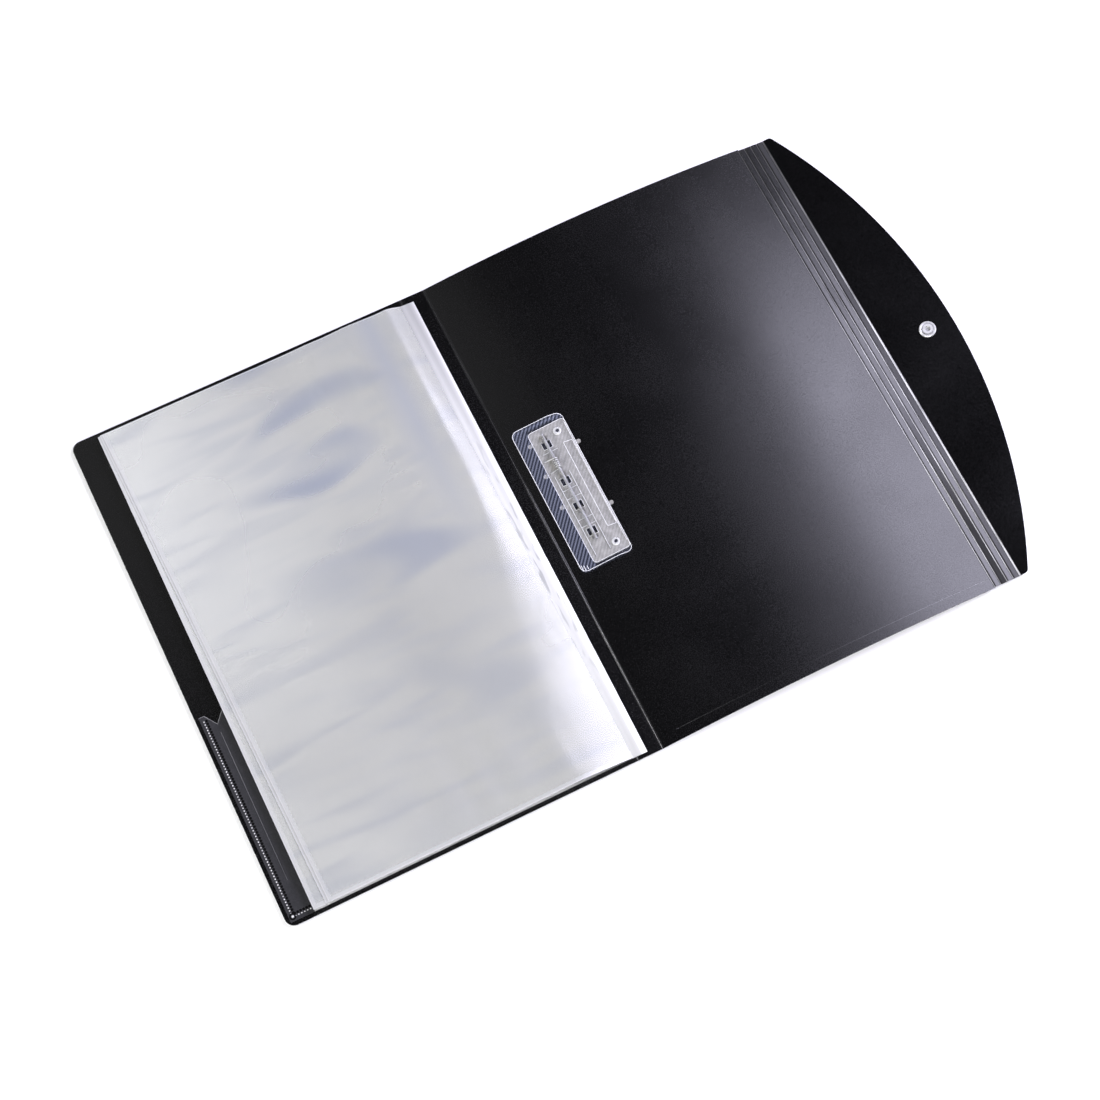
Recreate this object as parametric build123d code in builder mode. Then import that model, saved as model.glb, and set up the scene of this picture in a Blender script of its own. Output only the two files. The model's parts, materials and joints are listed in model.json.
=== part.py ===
"""A pocket display book lying open, inside up.

One scored plastic sheet makes the front cover, spine, back cover, gusset and closing flap. Clear pocket
leaves lie turned over on the front cover, a spring clip sits on the back cover beside the spine, and a press
stud closes the flap. X runs across the book from the front cover's free edge, Y runs up the page, Z is up.
"""
from build123d import *
from math import asin, atan2, ceil, cos, degrees, pi, radians, sin, sqrt, tan
import os

os.makedirs("parts", exist_ok=True)

# Cover sheet
cover_height = 340.0
front_width = 229.0
spine_width = 16.5
cover_thickness = 0.8
cover_corner = 6.0
fore_clearance = 0.5  # how much further the back cover reaches than the front cover
back_bow = 8.0  # rise of the bowed back cover over its chord
crease_gap = 0.2  # half of the thinned web along each score

# Gusset and closing flap
gusset_rest_slopes = (10.0, 4.0, 8.0, 4.0)  # fall of each strip at rest, where the creases keep a slight zigzag
gusset_first_fold = 75.0  # direction of the first strip when the book is closed
snap_gap = 2.6  # room between the closed flap and the front cover
flap_rise = 8.0  # slope at which the flap stands off the table at rest
flap_depth = 47.0
flap_shoulder = 5.5
flap_corner = 3.0
flap_inset = 0.6

# Press stud
snap_reach = 29.5  # from the flap's crease to the socket
socket_radius = 5.4
socket_rim_height = 1.2
socket_rim_width = 0.9
socket_groove = 0.3
socket_height = 1.8
socket_base = 0.35
stud_flange_radius = 4.75
stud_flange_thickness = 0.6
stud_head_radius = 1.7
snap_shank_radius = 1.0
snap_clearance = 0.1
shank_clearance = 0.05
cap_radius = 5.75
cap_height = 0.9
eyelet_radius = 4.5
eyelet_height = 0.6

# Pocket leaves and their binding
leaf_count = 20
leaf_fore_margin = 17.7  # bare cover outside the leaves' outer edge
leaf_head_margin = 5.0
leaf_foot_margin = 2.5
film_thickness = 0.05
sheet_space = 0.08  # room for a sheet between the two films
leaf_spacing = 0.2
seam_width = 2.0
seam_clearance = 0.004  # the films stay separate sheets beside each seam
leaf_seat = 0.35  # from the inside pocket up to the lowest leaf
leaf_end_clearance = 0.6  # between the leaves and the binding when the spine stands up
binding_start = 0.4
binding_width = 6.9
binding_height = 1.6

# Half-height pocket inside the front cover
pocket_height = 137.5
pocket_margin = 2.5
pocket_sheet = 0.4
pocket_space = 0.25
pocket_spine_margin = 6.0
pocket_seam_inset = 1.5
notch_start = 3.6  # from the pocket's outer edge
notch_width = 12.3
notch_depth = 8.0
notch_lean = 0.45  # share of the notch's width at which its point lies

# Spring clip
clip_offset = 28.0  # from the spine's second crease to the middle of the clip base
base_width = 25.5
base_length = 95.5
base_thickness = 1.6
base_corner = 2.5
clip_seat = 0.02
peg_reach = 3.0  # how far the pegs stand out from the base's long edges
peg_width = 2.6
peg_height = 1.0
spine_peg_places = (-5.6, 17.5, 40.0)
fore_peg_places = (-16.8, 29.0)
lever_overhang = 9.5  # how far the lever's thumb side passes the base
lever_length = 103.0
lever_corner = 4.0
lever_thickness = 1.4
plate_drop = 0.9  # from the tops of the lugs down to the lever's underside
lever_lip = 0.8
lever_lip_radius = 1.2
jaw_run = 9.25  # length of the lever's slope down to the jaw
jaw_lip = 1.55
jaw_thickness = 1.1
jaw_clearance = 0.15
jaw_bend_radius = 6.0
edge_round = 0.2
pin_radius = 1.0
pin_clearance = 0.04
pin_inset = 4.5  # from the base's middle towards the spine
pin_height = 3.9
pin_overhang = 1.2
lug_radius = 2.0
lug_thickness = 3.0
lug_clearance = 0.3
base_lug_places = (-32.0, -13.0, 13.0, 40.0)
window_margin = 1.0
window_reach = 1.6  # how far the base's windows reach past the lever's lugs
rib_width = 0.7
rib_height = 0.5
rib_offset = 5.0  # from the pin to the long ribs on the base
rib_foot = -44.0
rib_head = 14.0  # the long ribs stop short of the spring
cross_rib_places = (-23.5, -18.5, -3.0, 3.0, 30.5)
recess_length = 62.0
recess_depth = 0.4
recess_margin = 1.6

# Torsion spring on the clip's pin
wire_radius = 0.4
wire_sides = 8
coil_radius = 1.75
coil_turns = 4
coil_pitch = 1.4
coil_start = 18.0  # place of the first turn along the pin
spring_leg = 6.5
spring_leave_angle = 105.0

# Rivets that hold the clip
rivet_spread = 82.2
rivet_shift = 5.3  # from the base's middle towards the fore edge
rivet_radius = 1.5
rivet_head_radius = 2.6
rivet_head_height = 0.9
rivet_tail_height = 0.7
rivet_dimple_radius = 1.1
rivet_dimple_depth = 0.7
rivet_dimple_taper = 20.0
rivet_clearance = 0.05

# Gusset strips: directions at rest and when the book is closed, and the width that spans the closed book
gusset_strips = len(gusset_rest_slopes)
fold_step = (180.0 - 2.0 * gusset_first_fold) / (gusset_strips - 1)
folded_directions = [gusset_first_fold + fold_step * i for i in range(gusset_strips)]
rest_fall = sum(sin(radians(a)) for a in gusset_rest_slopes)
folded_rise = sum(sin(radians(a)) for a in folded_directions)
folded_shift = sum(cos(radians(a)) for a in folded_directions)
strip_width = (spine_width + cover_thickness + snap_gap) / (rest_fall + folded_rise)
gusset_drop = strip_width * rest_fall
gusset_run = strip_width * sum(cos(radians(a)) for a in gusset_rest_slopes)

# Levels and places across the open book
back_width = front_width + fore_clearance
flap_run = flap_depth * cos(radians(flap_rise)) + cover_thickness * sin(radians(flap_rise))
total_width = front_width + spine_width + back_width + gusset_run + flap_run
stud_height = snap_gap - socket_base - snap_clearance
outer_z = stud_height  # the open book stands on the stud under its front cover
inner_z = outer_z + cover_thickness
fore_x = -total_width / 2
crease_a = fore_x + front_width
crease_b = crease_a + spine_width
crease_1 = crease_b + back_width
crease_5 = crease_1 + gusset_run
# The closed flap brings its socket under this place on the front cover
stud_x = crease_a - back_width - strip_width * folded_shift + snap_reach
shank_hole_radius = snap_shank_radius + shank_clearance


def finish(piece, name):
    """Names a finished piece and writes it to its own file."""
    piece.label = name
    export_step(piece, f"parts/{name}.step")


# Front cover: a flat panel with rounded corners on its free edge
with BuildPart() as front_cover:
    with BuildSketch(Plane.XY.offset(outer_z)):
        with Locations(((fore_x + crease_a) / 2, 0)):
            Rectangle(front_width, cover_height)
        with Locations((stud_x, 0)):
            Circle(shank_hole_radius, mode=Mode.SUBTRACT)
    extrude(amount=cover_thickness)
    fillet(front_cover.edges().filter_by(Axis.Z).group_by(Axis.X)[0], radius=cover_corner)
finish(front_cover.part, "front_cover")

# Spine panel between the two spine scores
with BuildPart() as spine_panel:
    with BuildSketch(Plane.XY.offset(outer_z)):
        with Locations(((crease_a + crease_b) / 2, 0)):
            Rectangle(spine_width - 2 * crease_gap, cover_height)
    extrude(amount=cover_thickness)
finish(spine_panel.part, "spine_panel")

# Back cover: a shallow arch from the spine to the gusset
chord = sqrt(back_width**2 + gusset_drop**2)
chord_normal = Vector(-gusset_drop / chord, back_width / chord)
arch_start = Vector(crease_b, inner_z)
arch_end = Vector(crease_1, inner_z + gusset_drop)
arch_crown = (arch_start + arch_end) * 0.5 + chord_normal * back_bow
arch_radius = (chord**2 / 4 + back_bow**2) / (2 * back_bow)
arch_centre = arch_crown - chord_normal * arch_radius
sheet_drop = Vector(0, -cover_thickness)

# The clip sits on the arch, square to it
clip_x = crease_b + clip_offset
clip_lean = asin((arch_centre.X - clip_x) / arch_radius)
clip_foot = Vector(clip_x, 0, arch_centre.Y + arch_radius * cos(clip_lean))
clip_along = Vector(cos(clip_lean), 0, sin(clip_lean))
clip_up = Vector(-sin(clip_lean), 0, cos(clip_lean))
clip_plane = Plane(origin=clip_foot + clip_up * clip_seat, x_dir=clip_along, z_dir=clip_up)
pin_x = -pin_inset


def clip_side(y):
    """The clip's cross-section plane at a place along the pin, with the pin's foot as its origin."""
    return Plane(origin=clip_plane.from_local_coords((pin_x, y, 0)), x_dir=clip_along, z_dir=(0, -1, 0))


rivet_places = [(rivet_shift, -rivet_spread / 2), (rivet_shift, rivet_spread / 2)]

with BuildPart() as back_cover:
    with BuildSketch(Plane.XZ):
        with BuildLine():
            ThreePointArc(arch_start, arch_crown, arch_end)
            Line(arch_end, arch_end + sheet_drop)
            ThreePointArc(arch_end + sheet_drop, arch_crown + sheet_drop, arch_start + sheet_drop)
            Line(arch_start + sheet_drop, arch_start)
        make_face()
    extrude(amount=cover_height / 2, both=True)
    with BuildSketch(clip_plane):
        with Locations(*rivet_places):
            Circle(rivet_radius + rivet_clearance)
    extrude(amount=2 * cover_thickness, both=True, mode=Mode.SUBTRACT)
finish(back_cover.part, "back_cover")

# Gusset strips: each starts where the one before ends, at its own slope
strip_start = arch_end
for index, slope in enumerate(gusset_rest_slopes):
    strip_along = Vector(cos(radians(slope)), -sin(radians(slope)))
    strip_down = Vector(-sin(radians(slope)), -cos(radians(slope))) * cover_thickness
    near = strip_start + strip_along * crease_gap
    far = strip_start + strip_along * (strip_width - crease_gap)
    with BuildPart() as gusset_strip:
        with BuildSketch(Plane.XZ):
            with BuildLine():
                Polyline(near, far, far + strip_down, near + strip_down, close=True)
            make_face()
        extrude(amount=cover_height / 2 - flap_inset, both=True)
    finish(gusset_strip.part, f"gusset_strip_{index + 1}")
    strip_start = strip_start + strip_along * strip_width

# Closing flap: short straight shoulders and one long arc, on a plane that rises from the last crease
flap_along = Vector(cos(radians(flap_rise)), 0, sin(radians(flap_rise)))
flap_up = Vector(-sin(radians(flap_rise)), 0, cos(radians(flap_rise)))
flap_plane = Plane(origin=(crease_5, 0, inner_z), x_dir=flap_along, z_dir=flap_up)
flap_half = cover_height / 2 - flap_inset
with BuildPart() as closing_flap:
    with BuildSketch(flap_plane):
        with BuildLine():
            Line((crease_gap, flap_half), (crease_gap, -flap_half))
            Line((crease_gap, -flap_half), (flap_shoulder, -flap_half))
            ThreePointArc((flap_shoulder, -flap_half), (flap_depth, 0), (flap_shoulder, flap_half))
            Line((flap_shoulder, flap_half), (crease_gap, flap_half))
        make_face()
        with Locations((snap_reach, 0)):
            Circle(shank_hole_radius, mode=Mode.SUBTRACT)
    extrude(amount=-cover_thickness)
    upright = closing_flap.edges().filter_by(Axis((0, 0, 0), flap_up))
    fillet(upright.group_by(Axis.X)[1], radius=flap_corner)
finish(closing_flap.part, "closing_flap")

# Press stud: each piece is turned about an axis square to the sheet that it sits on


def turning_plane(sheet, x, level):
    """Plane through a turned piece's axis: radius runs along the sheet, height square to it."""
    return Plane(origin=sheet.from_local_coords((x, 0, level)), x_dir=sheet.x_dir, z_dir=-sheet.y_dir)


def turning_axis(plane):
    """The axis about which a profile on a turning plane is revolved."""
    return Axis(plane.origin, plane.y_dir)


socket_cavity_radius = stud_head_radius + snap_clearance
socket_mouth_radius = socket_cavity_radius + snap_clearance
socket_crown_radius = (socket_mouth_radius + socket_radius) / 2
socket_groove_radius = socket_radius - 2 * socket_rim_width
socket_plane = turning_plane(flap_plane, snap_reach, 0)
with BuildPart() as snap_socket:
    with BuildSketch(socket_plane):
        with BuildLine():
            Polyline(
                (shank_hole_radius, 0),
                (socket_radius, 0),
                (socket_radius, socket_rim_height - socket_groove),
                (socket_radius - socket_rim_width / 2, socket_rim_height),
                (socket_radius - socket_rim_width, socket_rim_height),
                (socket_groove_radius, socket_rim_height - socket_groove),
                (socket_crown_radius, socket_height),
                (socket_mouth_radius, socket_height),
                (socket_cavity_radius, socket_height - snap_clearance),
                (socket_cavity_radius, socket_base),
                (shank_hole_radius, socket_base),
                close=True,
            )
        make_face()
    revolve(axis=turning_axis(socket_plane))
finish(snap_socket.part, "snap_socket")

cap_edge = cap_height / 3
cap_shank_top = cover_thickness + socket_base
cap_plane = turning_plane(flap_plane, snap_reach, -cover_thickness)
with BuildPart() as snap_cap:
    with BuildSketch(cap_plane):
        with BuildLine():
            Polyline(
                (cap_radius - cap_edge, -2 * cap_edge),
                (cap_radius / 2, -cap_height),
                (0, -cap_height),
                (0, cap_shank_top),
                (snap_shank_radius, cap_shank_top),
                (snap_shank_radius, 0),
                (cap_radius, 0),
                (cap_radius, -cap_edge),
                close=True,
            )
        make_face()
    revolve(axis=turning_axis(cap_plane))
finish(snap_cap.part, "snap_cap")

stud_neck_radius = stud_head_radius - snap_clearance
stud_head_middle = (stud_flange_thickness + stud_height) / 2
stud_bore_depth = stud_head_middle
stud_edge = stud_flange_thickness / 2
stud_plane = turning_plane(Plane.XY, stud_x, outer_z)
with BuildPart() as snap_stud:
    with BuildSketch(stud_plane):
        with BuildLine():
            Polyline(
                (shank_hole_radius, 0),
                (stud_flange_radius, 0),
                (stud_flange_radius, -stud_edge),
                (stud_flange_radius - stud_edge, -stud_flange_thickness),
                (stud_neck_radius, -stud_flange_thickness),
                (stud_head_radius, -stud_head_middle),
                (stud_neck_radius, -stud_height),
                (0, -stud_height),
                (0, -stud_bore_depth),
                (shank_hole_radius, -stud_bore_depth),
                close=True,
            )
        make_face()
    revolve(axis=turning_axis(stud_plane))
finish(snap_stud.part, "snap_stud")

with BuildPart() as snap_eyelet:
    with BuildSketch(Plane.XY.offset(inner_z)):
        with Locations((stud_x, 0)):
            Circle(eyelet_radius)
    extrude(amount=eyelet_height)
    chamfer(snap_eyelet.faces().sort_by(Axis.Z)[-1].edges(), length=eyelet_height / 2)
    with BuildSketch(Plane.XY.offset(inner_z)):
        with Locations((stud_x, 0)):
            Circle(snap_shank_radius)
    extrude(amount=-(cover_thickness + stud_bore_depth - snap_clearance))
finish(snap_eyelet.part, "snap_eyelet")

# Half-height pocket: a sheet with a V notch, held on bars of weld at its outer edge, foot and spine side
pocket_fore = fore_x + pocket_margin
pocket_end = crease_a - pocket_spine_margin
pocket_foot = -cover_height / 2 + pocket_margin
pocket_head = pocket_foot + pocket_height
notch_left = pocket_fore + notch_start
with BuildPart() as inner_pocket:
    with BuildSketch(Plane.XY.offset(inner_z + pocket_space + seam_clearance)):
        with BuildLine():
            Polyline(
                (pocket_fore, pocket_foot),
                (pocket_end, pocket_foot),
                (pocket_end, pocket_head),
                (notch_left + notch_width, pocket_head),
                (notch_left + notch_width * notch_lean, pocket_head - notch_depth),
                (notch_left, pocket_head),
                (pocket_fore, pocket_head),
                close=True,
            )
        make_face()
    extrude(amount=pocket_sheet)
    bar_half = seam_width / 2
    with BuildSketch(Plane.XY.offset(inner_z)):
        for bar_x in (pocket_fore + pocket_seam_inset + bar_half, pocket_end - pocket_seam_inset - bar_half):
            with Locations((bar_x, pocket_foot + pocket_height / 2)):
                Rectangle(seam_width, pocket_height - 2 * pocket_seam_inset)
        foot_start = pocket_fore + pocket_seam_inset + seam_width + seam_clearance
        foot_end = pocket_end - pocket_seam_inset - seam_width - seam_clearance
        with Locations(((foot_start + foot_end) / 2, pocket_foot + pocket_seam_inset + bar_half)):
            Rectangle(foot_end - foot_start, seam_width)
    extrude(amount=pocket_space)
finish(inner_pocket.part, "inner_pocket")

# Binding strip: the leaves' fused margins, low towards both sides
leaf_foot = -cover_height / 2 + leaf_foot_margin
leaf_head = cover_height / 2 - leaf_head_margin
leaf_height = leaf_head - leaf_foot
binding_x = crease_a + binding_start
binding_far = binding_x + binding_width
binding_shoulder = inner_z + binding_height / 2
with BuildPart() as binding_strip:
    with BuildSketch(Plane.XZ.offset(-leaf_head)):
        with BuildLine():
            Polyline((binding_x, binding_shoulder), (binding_x, inner_z), (binding_far, inner_z),
                     (binding_far, binding_shoulder))
            crown = ((binding_x + binding_far) / 2, inner_z + binding_height)
            ThreePointArc((binding_far, binding_shoulder), crown, (binding_x, binding_shoulder))
        make_face()
    extrude(amount=leaf_height)
finish(binding_strip.part, "binding_strip")

# Pocket leaves: two films with weld seams between them at the outer edge and the foot, open at the head
leaf_fore = fore_x + leaf_fore_margin
leaf_end = crease_a - binding_height - leaf_end_clearance
leaf_length = leaf_end - leaf_fore
leaf_middle = ((leaf_fore + leaf_end) / 2, (leaf_head + leaf_foot) / 2)
stack_z = inner_z + pocket_space + pocket_sheet + leaf_seat
seam_space = sheet_space - 2 * seam_clearance
for index in range(leaf_count):
    leaf_z = stack_z + (leaf_count - 1 - index) * leaf_spacing
    seam_z = leaf_z + film_thickness + seam_clearance
    with BuildPart() as pocket_leaf:
        with BuildSketch(Plane.XY.offset(leaf_z), Plane.XY.offset(leaf_z + film_thickness + sheet_space)):
            with Locations(leaf_middle):
                Rectangle(leaf_length, leaf_height)
        extrude(amount=film_thickness)
        with BuildSketch(Plane.XY.offset(seam_z)):
            with Locations((leaf_fore + seam_width / 2, leaf_middle[1])):
                Rectangle(seam_width, leaf_height)
            foot_seam_start = leaf_fore + seam_width + seam_clearance
            with Locations(((foot_seam_start + leaf_end) / 2, leaf_foot + seam_width / 2)):
                Rectangle(leaf_end - foot_seam_start, seam_width)
        extrude(amount=seam_space)
    finish(pocket_leaf.part, f"pocket_leaf_{index + 1:02d}")

# Clip base: a ribbed plate with pegs, four lugs for the pin and a window under each lug of the lever
lug_step = lug_thickness + lug_clearance
lever_lug_places = [y - lug_step if y > 0 else y + lug_step for y in base_lug_places]
bore_radius = pin_radius + pin_clearance
window_width = 2 * (lug_radius + window_margin)
window_length = lug_thickness + 2 * lug_clearance
window_places = [y - window_reach / 2 if y > 0 else y + window_reach / 2 for y in lever_lug_places]
peg_places = [(-base_width / 2, y) for y in spine_peg_places] + [(base_width / 2, y) for y in fore_peg_places]
with BuildPart() as clip_base:
    with BuildSketch(clip_plane):
        RectangleRounded(base_width, base_length, base_corner)
        with Locations(*[(pin_x, y) for y in window_places]):
            Rectangle(window_width, window_length + window_reach, mode=Mode.SUBTRACT)
        with Locations(*rivet_places):
            Circle(rivet_radius + rivet_clearance, mode=Mode.SUBTRACT)
    extrude(amount=base_thickness)
    with BuildSketch(clip_plane):
        with Locations(*peg_places):
            SlotOverall(2 * peg_reach, peg_width)
    extrude(amount=peg_height)
    with BuildSketch(clip_plane.offset(base_thickness)):
        with Locations(*[(pin_x + side * rib_offset, (rib_foot + rib_head) / 2) for side in (-1, 1)]):
            Rectangle(rib_width, rib_head - rib_foot)
        with Locations(*[(pin_x, y) for y in cross_rib_places]):
            Rectangle(2 * rib_offset + rib_width, rib_width)
    extrude(amount=rib_height)
    for y in base_lug_places:
        with BuildSketch(clip_side(y)):
            with Locations((0, pin_height)):
                Circle(lug_radius)
            with Locations((0, pin_height / 2)):
                Rectangle(2 * lug_radius, pin_height)
            with Locations((0, pin_height)):
                Circle(bore_radius, mode=Mode.SUBTRACT)
        extrude(amount=lug_thickness / 2, both=True)
finish(clip_base.part, "clip_base")

# Clip lever: thumb side towards the spine, slope and jaw towards the fore edge, walled ends, lugs below
plate_under = pin_height + lug_radius - plate_drop
plate_top = plate_under + lever_thickness
thumb_end = -base_width / 2 - lever_overhang - pin_x
jaw_end = base_width / 2 - pin_x
jaw_under = base_thickness + jaw_clearance
jaw_top = jaw_under + jaw_thickness
slope_start = jaw_end - jaw_run
slope_angle = atan2(plate_top - jaw_top, jaw_run)
slope_shift = lever_thickness * tan(slope_angle / 2)
lever_middle = ((thumb_end + jaw_end) / 2 + pin_x, 0)
end_wall = (lever_length - lever_thickness) / 2
end_wall_start = thumb_end + lever_thickness / 2
end_wall_far = jaw_end - lever_thickness / 2
coil_turn = 360.0 * coil_turns + 90.0 + spring_leave_angle  # from the lowest point to the upper leg
coil_length = coil_pitch * coil_turn / 360.0
coil_middle = coil_start + coil_length / 2
coil_room = coil_length + 4 * wire_radius + 2 * window_margin
slope_along = Vector(cos(slope_angle), -sin(slope_angle))
slope_up = Vector(sin(slope_angle), cos(slope_angle))
recess_near = Vector(slope_start, plate_top) + slope_along * recess_margin
recess_far = Vector(jaw_end, jaw_top) - slope_along * recess_margin
lever_rounds = [edge_round, edge_round, lever_lip_radius, jaw_bend_radius, edge_round, edge_round, edge_round,
                jaw_bend_radius, edge_round]
with BuildPart() as clip_lever:
    with BuildSketch(clip_side(0)):
        with BuildLine():
            FilletPolyline(
                (thumb_end + lever_thickness, plate_under - lever_lip),
                (thumb_end, plate_under - lever_lip),
                (thumb_end, plate_top),
                (slope_start, plate_top),
                (jaw_end, jaw_top),
                (jaw_end, jaw_under),
                (jaw_end - jaw_lip, jaw_under),
                (slope_start - slope_shift, plate_under),
                (thumb_end + lever_thickness, plate_under),
                radius=lever_rounds,
                close=True,
            )
        make_face()
    extrude(amount=lever_length / 2, both=True)
    with BuildSketch(clip_side(-end_wall), clip_side(end_wall)):
        with BuildLine():
            Polyline(
                (end_wall_start, plate_under - lever_lip),
                (end_wall_start, plate_top - lever_thickness / 2),
                (slope_start, plate_top - lever_thickness / 2),
                (end_wall_far, jaw_top - jaw_thickness / 2),
                (end_wall_far, jaw_under),
                (slope_start, jaw_under),
                close=True,
            )
        make_face()
    extrude(amount=lever_thickness / 2, both=True)
    with BuildSketch(clip_plane):
        with Locations(lever_middle):
            RectangleRounded(jaw_end - thumb_end, lever_length, lever_corner)
    extrude(amount=2 * plate_top, mode=Mode.INTERSECT)
    with BuildSketch(clip_side(0)):
        with BuildLine():
            Polyline(
                recess_near - slope_up * recess_depth,
                recess_far - slope_up * recess_depth,
                recess_far + slope_up * recess_depth,
                recess_near + slope_up * recess_depth,
                close=True,
            )
        make_face()
    extrude(amount=recess_length / 2, both=True, mode=Mode.SUBTRACT)
    with BuildSketch(clip_plane.offset(plate_under - lug_clearance)):
        with Locations(*[(pin_x, y) for y in base_lug_places]):
            Rectangle(window_width, window_length)
        with Locations((pin_x - window_margin, coil_middle)):
            Rectangle(window_width + 2 * window_margin, coil_room)
    extrude(amount=2 * lever_thickness, mode=Mode.SUBTRACT)
    for y in lever_lug_places:
        with BuildSketch(clip_side(y)):
            with Locations((0, pin_height)):
                Circle(lug_radius)
            with Locations((0, (pin_height + plate_under + lever_thickness / 2) / 2)):
                Rectangle(2 * lug_radius, plate_under + lever_thickness / 2 - pin_height)
        extrude(amount=lug_thickness / 2, both=True)
    with BuildSketch(clip_side(0)):
        with Locations((0, pin_height)):
            Circle(bore_radius)
    extrude(amount=base_length / 2, both=True, mode=Mode.SUBTRACT)
finish(clip_lever.part, "clip_lever")

# Hinge pin through all the lugs
pin_middle = (min(base_lug_places) + max(base_lug_places)) / 2
pin_half = max(base_lug_places) - pin_middle + lug_thickness / 2 + pin_overhang
with BuildPart() as clip_pin:
    with BuildSketch(clip_side(pin_middle)):
        with Locations((0, pin_height)):
            Circle(pin_radius)
    extrude(amount=pin_half, both=True)
finish(clip_pin.part, "clip_pin")


def on_coil(turned):
    """Point of the coil after a turn in degrees, counted from its lowest point."""
    angle = radians(turned - 90.0)
    place = (pin_x + coil_radius * cos(angle), coil_start + coil_pitch * turned / 360.0,
             pin_height + coil_radius * sin(angle))
    return clip_plane.from_local_coords(place)


def coil_heading(turned):
    """Direction of the wire after a turn in degrees."""
    angle = radians(turned - 90.0)
    turn_length = 2 * pi * coil_radius
    heading = clip_along * (-sin(angle)) + clip_up * cos(angle) + Vector(0, coil_pitch / turn_length, 0)
    return heading.normalized()


def biarc_middle(start, end, start_heading, end_heading):
    """Point and direction where two arcs meet that join two ends smoothly."""
    span = end - start
    both = start_heading + end_heading
    bend = 2 * (1 - start_heading.dot(end_heading))
    reach = (sqrt(span.dot(both)**2 + bend * span.dot(span)) - span.dot(both)) / bend
    first = start + start_heading * reach
    second = end - end_heading * reach
    return (first + second) * 0.5, (second - first).normalized()


# Torsion spring: a leg on the base, the turns round the pin and a leg under the lever's thumb side
arc_count = ceil(coil_turn / 90.0)
arc_turn = coil_turn / arc_count
with BuildPart() as clip_spring:
    with BuildLine() as spring_wire:
        Line(on_coil(0) - coil_heading(0) * spring_leg, on_coil(0))
        for step in range(arc_count):
            here = on_coil(step * arc_turn)
            there = on_coil((step + 1) * arc_turn)
            here_heading = coil_heading(step * arc_turn)
            there_heading = coil_heading((step + 1) * arc_turn)
            middle, middle_heading = biarc_middle(here, there, here_heading, there_heading)
            TangentArc(here, middle, tangent=here_heading)
            TangentArc(middle, there, tangent=middle_heading)
        Line(on_coil(coil_turn), on_coil(coil_turn) + coil_heading(coil_turn) * spring_leg)
    wire_start = on_coil(0) - coil_heading(0) * spring_leg
    with BuildSketch(Plane(origin=wire_start, z_dir=coil_heading(0))):
        RegularPolygon(wire_radius, wire_sides)
    sweep(path=spring_wire.line)
finish(clip_spring.part, "clip_spring")

sample_step = 15  # degrees
samples = [on_coil(turned) for turned in range(0, int(coil_turn) + 1, sample_step)]
half_turn = 180 // sample_step
least = min((a - b).length for i, a in enumerate(samples) for b in samples[i + half_turn:])
print(f"clip_spring: least gap between turns {least - 2 * wire_radius:.2f} mm")

# Rivets: a dimpled head on the clip base, a shank and a tail under the back cover
arch_fall = (rivet_shift + rivet_head_radius)**2 / (2 * arch_radius)
tail_level = -(cover_thickness + arch_fall + 2 * clip_seat)
with BuildPart() as clip_rivets:
    with BuildSketch(clip_plane.offset(base_thickness)):
        with Locations(*rivet_places):
            Circle(rivet_head_radius)
    extrude(amount=rivet_head_height)
    heads = clip_rivets.faces().sort_by(Axis(clip_foot, clip_up))[-2:]
    chamfer(heads.edges(), length=rivet_head_height / 2)
    with BuildSketch(clip_plane.offset(base_thickness)):
        with Locations(*rivet_places):
            Circle(rivet_radius)
    extrude(amount=tail_level - base_thickness)
    with BuildSketch(clip_plane.offset(tail_level)):
        with Locations(*rivet_places):
            Circle(rivet_head_radius)
    extrude(amount=-rivet_tail_height)
    with BuildSketch(clip_plane.offset(base_thickness + rivet_head_height)):
        with Locations(*rivet_places):
            Circle(rivet_dimple_radius)
    extrude(amount=-rivet_dimple_depth, taper=rivet_dimple_taper, mode=Mode.SUBTRACT)
finish(clip_rivets.part, "clip_rivets")

print(f"open {total_width:.1f} x {cover_height:.1f} mm")
print(f"gusset strip {strip_width:.2f} mm wide, drop {gusset_drop:.2f} mm")
print(f"clip leans {degrees(clip_lean):.2f} degrees, stud at {stud_x - fore_x:.2f} mm from the fore edge")
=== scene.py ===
# %% [markdown]
# # Clear pocket display book
#
# An open pocket book lies on a pale table: a black sheet of plastic creased into a front cover, a spine, a bowed back
# cover, a four-strip gusset and a rounded closing flap, with twenty clear film pockets bound beside the spine and a
# clear spring clip riveted to the back cover. The solid model arrives ready made and ready jointed. This lesson gives
# it a photograph's camera, film that is as thin and wavy as film is, and the finishes of its plastics and metals.

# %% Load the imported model
import json
import math

import bpy
import numpy as np
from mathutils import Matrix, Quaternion, Vector


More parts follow.
